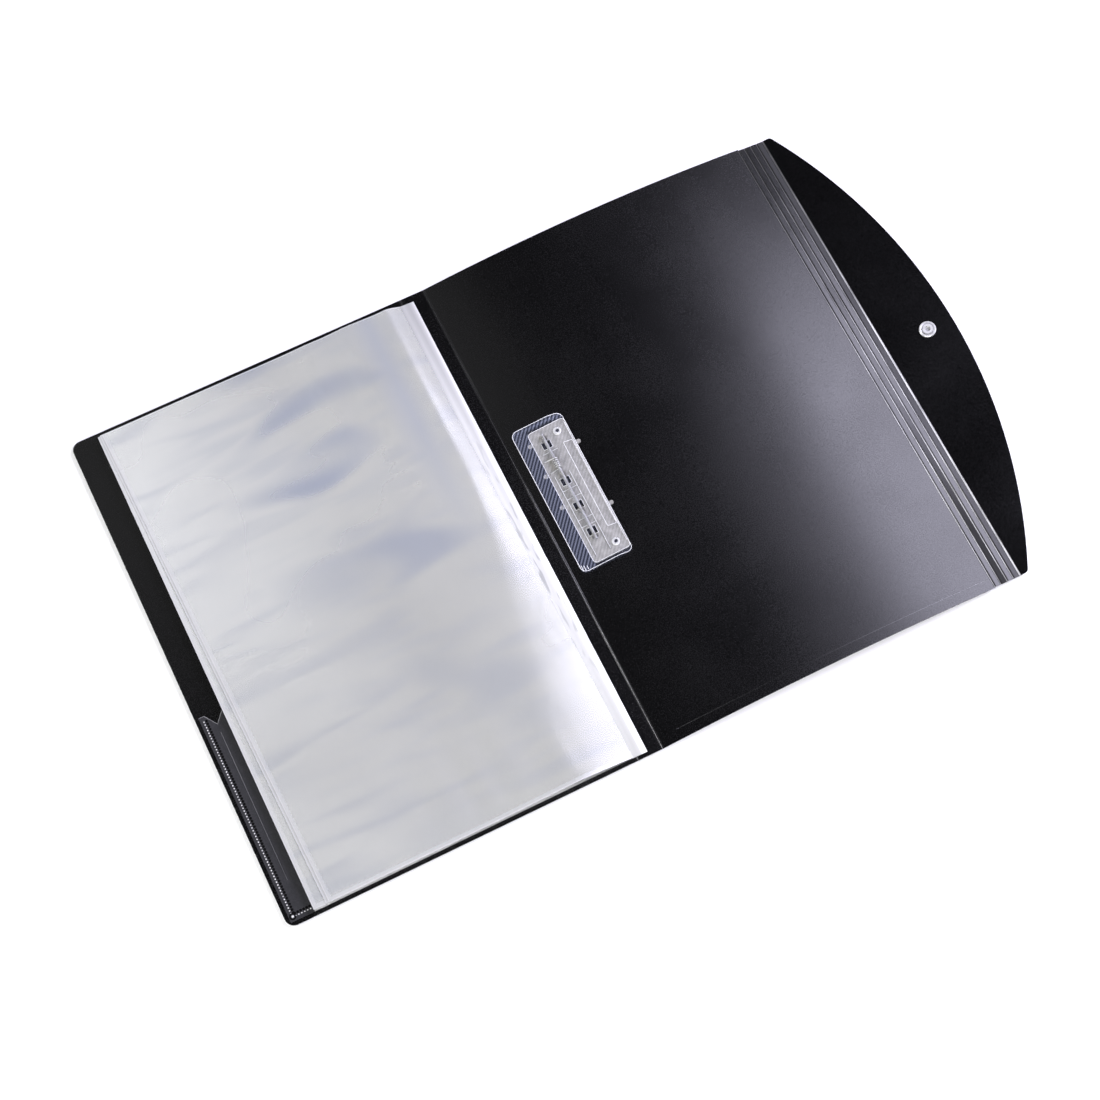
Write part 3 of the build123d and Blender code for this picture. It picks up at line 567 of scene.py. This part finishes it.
def head_roll(u, v):
    """Two soft rolls beside the binding that grow towards the head, between 0 and 1."""
    roll = 0.5 + 0.5 * np.sin(2 * np.pi * (1.0 - u) / 0.17 + 0.6 + 0.8 * v)
    return roll * smooth_step((v - 0.4) / 0.5) * smooth_step((1.0 - u) / 0.06) * (1.0 - smooth_step((0.72 - u) / 0.12))


def foot_pleats(u, v):
    """Soft pleats that stand up from the foot's weld: a sine across the page whose phase leans, between 0 and 1."""
    pleats = 0.5 + 0.5 * np.sin(2 * np.pi * (9.0 * u + 0.9 * v + 0.12 * np.sin(21.0 * u)))
    inside = smooth_step((u - 0.30) / 0.15) * (1.0 - smooth_step((u - 0.78) / 0.12))
    return pleats * inside * smooth_step(v / 0.04) * (1.0 - smooth_step((v - 0.05) / 0.22))


def room_for_clip(u, v):
    """1 over most of the page, and a fifth where the clip comes down on the pile when the book is closed."""
    beside_clip = smooth_step((np.abs(v - 0.5) - 0.16) / 0.2)
    return 1.0 - 0.8 * smooth_step((u - 0.5) / 0.32) * (1.0 - beside_clip)


def film_pocket(k):
    """The two films as one tube, across the upper film and back across the lower: height is the pocket's level,
    squeezed towards the binding, plus its share of the waves; the films meet at the welds and part between them."""
    u, v = np.meshgrid(across_steps, along_steps, indexing="ij")
    x = leaf_low.x + u * leaf_length + (shifted[k] + drawn_in[k] * (1.0 - v)) * (1.0 - u)
    y = leaf_low.y + v * leaf_height + 0.0003 * math.sin(1.7 * k) * (1.0 - u)
    across, along = (x - leaf_low.x) / leaf_length, (y - leaf_low.y) / leaf_height
    lift = ((leaf_count - 1 - k) / (leaf_count - 1)) ** 1.4
    squeeze_run = 0.011 + 0.027 * (1.0 - smooth_step((along - 0.05) / 0.6))
    fall = np.clip((across - 1.0) * leaf_length / squeeze_run + 1.0, 0.0, 1.0)
    press = fall**1.5
    seat = level[-1] + press * (inner_z + 0.0005 - level[-1])
    z = seat + (level[k] - level[-1]) * (1.0 - 0.64 * press)
    waves = 0.0013 * shared_wave(across, along) + 0.0007 * edge_ripple(across, along)
    waves = waves + 0.0004 * crinkle(across, along) + 0.0009 * head_roll(across, along)
    waves = waves + 0.0007 * foot_pleats(across, along)
    swell = (0.0026 - 0.0014 * along) * smooth_step((across - 0.55) / 0.3) * (1.0 - press)
    z = z + lift * (waves + swell) * room_for_clip(across, along)
    weld = np.minimum(np.minimum(u * leaf_length, v * leaf_height) / 0.006, (1.0 - u) * leaf_length / 0.01)
    part = 0.000062 * smooth_step(weld) * (1.0 - 0.75 * press)
    upper = np.stack([x, y, z + part], axis=-1)
    lower = np.stack([x, y, z - part], axis=-1)
    points = np.concatenate([upper, lower[-2:0:-1]])
    index = np.arange(points[..., 0].size).reshape(points.shape[:2])
    folded = np.concatenate([np.arange(len(u)), np.arange(len(u) - 2, 0, -1)])
    index[len(u):, 0] = index[folded[len(u):], 0]
    uv = np.stack([u, v], axis=-1)
    return points, ring_faces(index), np.concatenate([uv, uv[-2:0:-1]])


pockets = []
for k in range(leaf_count):
    pocket = make_piece(f"film_pocket_{k + 1:02d}", *film_pocket(k))
    pocket.data.materials.append(film_clear)
    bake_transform(pocket)
    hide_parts(leaf_names[k])
    pockets.append(pocket)
print(len(pockets), "film pockets of", len(pockets[0].data.polygons), "faces")

# %% [markdown]
# ## The binding
#
# Beside the spine the films are fused into one flat band that is welded to the spine panel. It carries on from the
# squeezed end of the pile, over the first crease, and down to a thin white edge. It is one closed strip, a low arch
# carried along the pile, that lies over the front cover and the spine.

# %% Fuse the margins into a band
strip_low, strip_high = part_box("binding_strip")
band_start = leaf_high.x - 0.0006
band_top = inner_z + 0.0005 + 0.36 * (level[0] - level[-1]) - 0.0001
band_end = inner_z + 0.00085

binding_film, tree, shader = start_finish("binding_film", Roughness=0.42, Specular_IOR_Level=0.25)
coords = add_node(tree, "TexCoord")
across = add_node(tree, "SeparateXYZ", {"Vector": coords.outputs["UV"]})
ribs = add_node(tree, "TexNoise", {"Vector": coords.outputs["Object"], "Scale": 160.0, "Detail": 2.0})
# The greys across the band are painted highlights of film that curves down to the spine, paler towards the foot. The
# dark flecks on its lower part are painted crinkle shadows.
head_painted_light = [(0.0, 0.56), (1.0, 0.85), (0.30, 0.62), (0.60, 0.52), (0.78, 0.62), (0.92, 0.85)]
foot_painted_light = [(0.0, 0.66), (1.0, 0.95), (0.12, 0.52), (0.36, 0.50), (0.60, 0.56), (0.70, 0.92)]
at_head, at_foot = (ramped(tree, across.outputs["X"], greys) for greys in (head_painted_light, foot_painted_light))
upwards = spread(tree, across.outputs["Y"], 0.35, 0.72, 1.0, 0.0)
pale = add_node(tree, "Mix", {0: upwards, "A": at_head, "B": at_foot}, data_type="RGBA").outputs["Result"]
stretched = add_node(tree, "Mapping", {"Vector": coords.outputs["Object"], "Scale": (420.0, 60.0, 1.0)})
crinkle_shadows = add_node(tree, "TexNoise", {"Vector": stretched.outputs["Vector"], "Scale": 1.0, "Detail": 1.0}).outputs["Fac"]
lower_part = ramped(tree, across.outputs["Y"], [(0.1, 0.0), (0.75, 0.0), (0.4, 1.0)])
crinkle_shadows = combine(tree, spread(tree, crinkle_shadows, 0.56, 0.64, 0.0, 0.75), lower_part, "MULTIPLY")
crinkle_shadow_mix = add_node(tree, "Mix", {0: crinkle_shadows, "A": pale, "B": (0.22, 0.225, 0.23, 1.0)}, data_type="RGBA")
tree.links.new(crinkle_shadow_mix.outputs["Result"], shader.inputs["Base Color"])
bump = add_node(tree, "Bump", {"Height": ribs.outputs["Fac"], "Strength": 0.2, "Distance": 0.0003})
tree.links.new(bump.outputs["Normal"], shader.inputs["Normal"])

s = np.linspace(0.0, 1.0, 25)
band_x = band_start + s * (strip_high.x - band_start)
band_z = band_top - (band_top - band_end) * (0.45 * smooth_step(s / 0.45) + 0.55 * smooth_step((s - 0.45) / 0.55))
foot_z = np.where(band_x < strip_low.x, inner_z + 0.0004, inner_z + 0.00002)
profile = np.concatenate([np.stack([band_x, band_z], axis=-1), np.stack([band_x, foot_z], axis=-1)[::-1]])
along = np.linspace(leaf_low.y, leaf_high.y, 3)
band = closed_strip("binding_band", profile, along, np.concatenate([s, s[::-1]]), np.linspace(0, 1, 3))
band.data.materials.append(binding_film)
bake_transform(band)
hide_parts("binding_strip")
print("binding band", round(1000 * (strip_high.x - band_start), 1), "mm wide")

# %% [markdown]
# ## The clip
#
# The clip is moulded from clear plastic. Its lever has a fine diagonal hatch under the thumb, which scatters light and
# makes the plate blue grey, and its base is thicker and frosted. True refraction would be costly and would bury the
# dark cover under it in reflections, so both are partly see-through with a gloss of their own.


# %% Finish the clip
def moulded_clear(name, dark, pale, roughness, scale):
    """Clear plastic: a diagonal hatch of fine bands gives the colour and the bump; returns its tree and nodes too."""
    finish, tree, shader = start_finish(name, Roughness=roughness, Specular_IOR_Level=0.6)
    place = add_node(tree, "TexCoord").outputs["Object"]
    turned = add_node(tree, "Mapping", {"Vector": place, "Rotation": (0.0, 0.0, math.radians(40))})
    turned = turned.outputs["Vector"]
    hatch = add_node(tree, "TexWave", {"Vector": turned, "Scale": scale, "Distortion": 0.6}).outputs["Fac"]
    tree.links.new(blend_colours(tree, hatch, dark, pale), shader.inputs["Base Color"])
    bump = add_node(tree, "Bump", {"Height": hatch, "Strength": 0.2, "Distance": 0.0002})
    tree.links.new(bump.outputs["Normal"], shader.inputs["Normal"])
    finish.surface_render_method = "BLENDED"
    return finish, tree, shader, place, hatch


pin = joint_place["clip_press"]
clip_lean = math.radians(6.53)
thumb_line = pin[0] - 0.0081
head_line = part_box("clip_base")[1].y
lever_dark, lever_pale = (0.16, 0.19, 0.32), (0.52, 0.56, 0.74)
lever_clear, tree, shader, place, hatch = moulded_clear("lever_clear", lever_dark, lever_pale, 0.12, 150.0)
spot = add_node(tree, "SeparateXYZ", {"Vector": place})
thumb_side = spread(tree, spot.outputs["X"], thumb_line - 0.0004, thumb_line + 0.0004, 1.0, 0.0)
head_side = spread(tree, spot.outputs["Y"], head_line - 0.0004, head_line + 0.0004, 0.0, 1.0)
hatched = combine(tree, thumb_side, head_side, "MAXIMUM")
hatch_shown = spread(tree, hatch, 0.0, 1.0, 0.04, 0.14)
shown = add_node(tree, "Mix", {0: hatched, "A": 0.025, "B": hatch_shown}, data_type="FLOAT")
tree.links.new(shown.outputs["Result"], shader.inputs["Alpha"])
dress(["clip_lever"], lever_clear)

base_dark, base_pale = (0.33, 0.322, 0.308), (0.40, 0.392, 0.378)
base_frosted, tree, shader, place, hatch = moulded_clear("base_frosted", base_dark, base_pale, 0.3, 150.0)
flow = add_node(tree, "TexNoise", {"Vector": place, "Scale": 260.0, "Detail": 3.0})
leaning = add_node(tree, "VectorRotate", {"Vector": place, "Center": tuple(pin), "Axis": (0, 1, 0), "Angle": clip_lean})
over_pin = add_node(tree, "SeparateXYZ", {"Vector": leaning.outputs["Vector"]}).outputs["Z"]
plate = spread(tree, over_pin, pin[2] - 0.0016, pin[2] - 0.0010, 1.0, 0.12)
frost = spread(tree, flow.outputs["Fac"], 0.35, 0.65, 0.62, 0.88)
tree.links.new(combine(tree, plate, frost, "MULTIPLY"), shader.inputs["Alpha"])
dress(["clip_base"], base_frosted)

# %% [markdown]
# Clear plastic carries light inside it and lets it out where the surface turns away, so every edge of the clip is a
# bright line. A ray tracer could find them by refraction, at the cost of many bounces. Here each edge has its own fine
# bead: on the lever its outline, the long recess, the jaw and three short glints at the foot, and on the base its
# outline, the four windows and the ribs. Each bead rides on its own half of the clip.

# %% Light the clip's edges
along_clip = np.array([math.cos(clip_lean), 0.0, math.sin(clip_lean)])
off_clip = np.array([-math.sin(clip_lean), 0.0, math.cos(clip_lean)])
pin_height, plate_top, jaw_top = 0.0039, 0.0064, 0.00285
slope_start, jaw_end = 0.0080, 0.01725
edge_light = mottled("edge_light", (0.70, 0.71, 0.74), (0.95, 0.95, 0.96), 200.0, 0.15)


def rounded_outline(x0, x1, y0, y1, radius, steps=6):
    """A closed rectangle with quarter circles at its corners, anticlockwise, with points along its sides too."""
    turn = np.linspace(0.0, np.pi / 2, steps)
    corners = [(x1 - radius, y1 - radius, 0.0), (x0 + radius, y1 - radius, np.pi / 2),
               (x0 + radius, y0 + radius, np.pi), (x1 - radius, y0 + radius, 1.5 * np.pi)]
    arcs = [np.stack([x + radius * np.cos(turn + a), y + radius * np.sin(turn + a)], axis=-1) for x, y, a in corners]
    runs = [np.linspace(arc[-1], arcs[(i + 1) % 4][0], 14)[1:-1] for i, arc in enumerate(arcs)]
    return np.concatenate([part for pair in zip(arcs, runs) for part in pair])


def on_clip(outline, height):
    """Points of an outline beside the pin, at a height over the clip's foot, in the book's own frame."""
    return pin + outline[:, :1] * along_clip + outline[:, 1:] * np.array([0.0, 1.0, 0.0]) + (
        (np.broadcast_to(height, len(outline)) - pin_height)[:, None] * off_clip)


def lever_height(x):
    """The lever's top: level from the thumb side, then a straight slope down to the jaw."""
    return plate_top + (jaw_top - plate_top) * np.clip((x - slope_start) / (jaw_end - slope_start), 0.0, 1.0)


def straight(x0, y0, x1, y1):
    """Nine points on a straight line beside the pin."""
    return np.linspace((x0, y0), (x1, y1), 9)


lever_edge = rounded_outline(-0.01755, 0.01705, -0.0513, 0.0513, 0.004)
base_edge = rounded_outline(-0.00815, 0.01715, -0.04765, 0.04765, 0.0025)
recess_edge = rounded_outline(0.0096, 0.0156, -0.031, 0.031, 0.0008)
edges = [
    ("lever_edge", on_clip(lever_edge, lever_height(lever_edge[:, 0]) - 0.0001), 0.00018, "clip_lever", True),
    ("recess_edge", on_clip(recess_edge, lever_height(recess_edge[:, 0]) - 0.00006), 0.00014, "clip_lever", True),
    ("base_edge", on_clip(base_edge, 0.0016), 0.00018, "back_cover", True),
    ("jaw_line", on_clip(straight(0.0162, -0.044, 0.0162, 0.044), lever_height(0.0162)), 0.00016, "clip_lever", False),
]
for i, y in enumerate((-0.0279, -0.0089, 0.0089, 0.0359)):
    window = rounded_outline(-0.0031, 0.0031, y - 0.0027, y + 0.0027, 0.0004)
    edges.append((f"window_edge_{i + 1}", on_clip(window, 0.0016), 0.00016, "back_cover", True))
for i, x in enumerate((-0.005, 0.005)):
    edges.append((f"long_rib_{i + 1}", on_clip(straight(x, -0.044, x, 0.014), 0.0021), 0.00016, "back_cover", False))
for i, y in enumerate((-0.0235, -0.0185, -0.003, 0.003, 0.0305)):
    edges.append((f"cross_rib_{i + 1}", on_clip(straight(-0.0052, y, 0.0052, y), 0.0021), 0.00014, "back_cover", False))
for i, x in enumerate((-0.0165, -0.0150, -0.0132)):
    glint = straight(x, -0.0505, x, -0.0465 - 0.0007 * i)
    edges.append((f"foot_glint_{i + 1}", on_clip(glint, plate_top - 0.0003), 0.00022, "clip_lever", False))
for name, path, radius, body, closed in edges:
    piece = bead(name, path, radius, closed=closed)
    piece.data.materials.append(edge_light)
    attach(piece, body)
print(len(edges), "bright edges on the clip")

# %% [markdown]
# ## The metals
#
# The snap and the rivets are nickel plated, the spring and the pin are steel wire. Plating on pressed brass is never a
# perfect mirror: a fine noise in the roughness keeps the highlights soft. The rivets' dimples and the rings of the
# snap's socket hold shade, which circles about their axes darken a little more.


# %% Finish the metals
def plated_metal(name, dark, pale, roughness, metallic):
    """Metal with a cloudy plating: noise moves the colour and the roughness a little."""
    finish, tree, shader = start_finish(name, Metallic=metallic)
    place = add_node(tree, "TexCoord").outputs["Object"]
    cloud = add_node(tree, "TexNoise", {"Vector": place, "Scale": 420.0, "Detail": 3.0})
    tree.links.new(blend_colours(tree, cloud.outputs["Fac"], dark, pale), shader.inputs["Base Color"])
    gloss = spread(tree, cloud.outputs["Fac"], 0.3, 0.7, roughness - 0.05, roughness + 0.08)
    tree.links.new(gloss, shader.inputs["Roughness"])
    return finish


spring_steel = plated_metal("spring_steel", (0.50, 0.50, 0.51), (0.70, 0.70, 0.70), 0.3, 0.7)
dress(["clip_spring"], spring_steel)
dress(["clip_pin"], plated_metal("pin_steel", (0.24, 0.24, 0.25), (0.36, 0.36, 0.36), 0.35, 0.5))


ring_reach = 0.006


def ring_marks(finish, middle_x, row_y, stops):
    """Darkens a metal on circles about the axis at middle_x and row_y to each side of the book's middle: the distance
    from the axis, in parts of the rings' reach, is looked up in a list of places and darknesses."""
    tree, shader = finish.node_tree, finish.node_tree.nodes["Principled BSDF"]
    spot = add_node(tree, "SeparateXYZ", {"Vector": add_node(tree, "TexCoord").outputs["Object"]})
    off_x = combine(tree, spot.outputs["X"], middle_x, "SUBTRACT")
    from_middle = add_node(tree, "Math", {0: spot.outputs["Y"]}, operation="ABSOLUTE").outputs["Value"]
    off_y = combine(tree, from_middle, row_y, "SUBTRACT")
    flat = add_node(tree, "CombineXYZ", {"X": off_x, "Y": off_y}).outputs["Vector"]
    radius = add_node(tree, "VectorMath", {0: flat}, operation="LENGTH").outputs["Value"]
    darkness = ramped(tree, combine(tree, radius, ring_reach, "DIVIDE"), stops)
    plating = shader.inputs["Base Color"].links[0].from_socket
    marked = add_node(tree, "Mix", {0: darkness, "A": plating, "B": (0.02, 0.02, 0.025, 1.0)}, data_type="RGBA")
    tree.links.new(marked.outputs["Result"], shader.inputs["Base Color"])
    return finish


rivet_nickel = plated_metal("rivet_nickel", (0.80, 0.80, 0.80), (0.93, 0.93, 0.92), 0.30, 0.5)
rivet_low, rivet_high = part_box("clip_rivets")
rivet_head = 0.0026
rivet_y = (rivet_high.y - rivet_low.y) / 2 - rivet_head
ring_marks(rivet_nickel, (rivet_low.x + rivet_high.x) / 2, rivet_y, [(0.16, 1.0), (0.22, 0.0)])
dress(["clip_rivets"], rivet_nickel)

snap_dark, snap_pale = (0.54, 0.54, 0.55), (0.62, 0.62, 0.62)
snap_nickel = plated_metal("snap_nickel", snap_dark, snap_pale, 0.30, 0.42)
snap_low, snap_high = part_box("snap_socket")
ring_stops = [(0.10, 0.75), (0.80, 0.0), (0.17, 0.0), (0.50, 0.0), (0.56, 0.4), (0.63, 0.4), (0.69, 0.0)]
ring_marks(snap_nickel, (snap_low.x + snap_high.x) / 2, 0.0, ring_stops)
dress(["snap_socket"], snap_nickel)
cap_nickel = plated_metal("cap_nickel", snap_dark, snap_pale, 0.26, 0.6)
dress(["snap_cap", "snap_stud", "snap_eyelet"], cap_nickel)

# %% [markdown]
# ## The table and the light
#
# The table is a plain pale sheet. A black glossy sheet shows only what it mirrors, so the lights are placed by mirror
# directions. The sky straight overhead, which the flat panels mirror, stays dark. Two soft panels, a strong low one and
# a faint high one, stand on the fore-edge side, where the bowed back cover and the gusset mirror them. The main light
# comes from the viewer's side, and two weak panels on the left keep the film and the front cover from going flat.

# %% Lay the table
table_half, table_top = 2.6, -0.0002
steps = np.linspace(-table_half, table_half, 9)
table_x, table_y = np.meshgrid(steps, steps, indexing="ij")
points = np.stack([table_x, table_y, np.full_like(table_x, table_top)], axis=-1)
table = make_piece("table", points, grid_faces(np.arange(81).reshape(9, 9)))
table_white, tree, shader = start_finish("table_white", Roughness=0.85, Specular_IOR_Level=0.1)
place = add_node(tree, "TexCoord").outputs["Object"]
fibre = add_node(tree, "TexNoise", {"Vector": place, "Scale": 30.0, "Detail": 3.0})
paper = blend_colours(tree, fibre.outputs["Fac"], (0.90, 0.90, 0.90), (0.93, 0.93, 0.93))
tree.links.new(paper, shader.inputs["Base Color"])
table.data.materials.append(table_white)


# %% Set the lights
def soft_panel(name, place, aim, width, height, power, colour=(1.0, 1.0, 1.0)):
    """A rectangular light at a place, facing the point it is aimed at."""
    light = bpy.data.lights.new(name, "AREA")
    light.shape, light.size, light.size_y = "RECTANGLE", width, height
    light.energy, light.color = power, colour
    panel = bpy.data.objects.new(name, light)
    panel.location = place
    panel.rotation_mode = "QUATERNION"
    panel.rotation_quaternion = (Vector(aim) - Vector(place)).to_track_quat("-Z", "Y")
    bpy.context.scene.collection.objects.link(panel)


soft_panel("viewer_side", (-0.55, -1.35, 1.35), (0.0, 0.0, 0.0), 1.5, 1.2, 36.0)
soft_panel("fore_edge_side", (1.20, 0.07, 1.18), (0.2, 0.07, 0.0), 1.2, 1.0, 36.0, (1.0, 0.98, 1.20))
soft_panel("fore_edge_upper", (0.78, 0.07, 1.50), (0.2, 0.07, 0.0), 1.0, 0.55, 2.6, (1.0, 0.98, 1.20))
soft_panel("overhead_left", (-0.50, 0.95, 1.70), (-0.25, 0.1, 0.0), 0.7, 0.7, 0.9)
soft_panel("far_left", (-1.5, 0.5, 1.0), (-0.1, 0.0, 0.0), 0.8, 1.0, 14.0)

world = bpy.data.worlds.new("studio")
world.use_nodes = True
sky = world.node_tree
way = add_node(sky, "TexCoord").outputs["Generated"]
height = add_node(sky, "SeparateXYZ", {"Vector": way}).outputs["Z"]
ramp = add_node(sky, "ValToRGB", {"Fac": height})
ramp.color_ramp.elements[0].position, ramp.color_ramp.elements[0].color = 0.12, (0.9, 0.9, 0.9, 1.0)
ramp.color_ramp.elements[1].position, ramp.color_ramp.elements[1].color = 0.5, (0.012, 0.012, 0.013, 1.0)
sky.links.new(ramp.outputs["Color"], sky.nodes["Background"].inputs["Color"])
bpy.context.scene.world = world
bpy.context.scene.view_settings.view_transform = "Standard"
print("five panels and a studio sky")
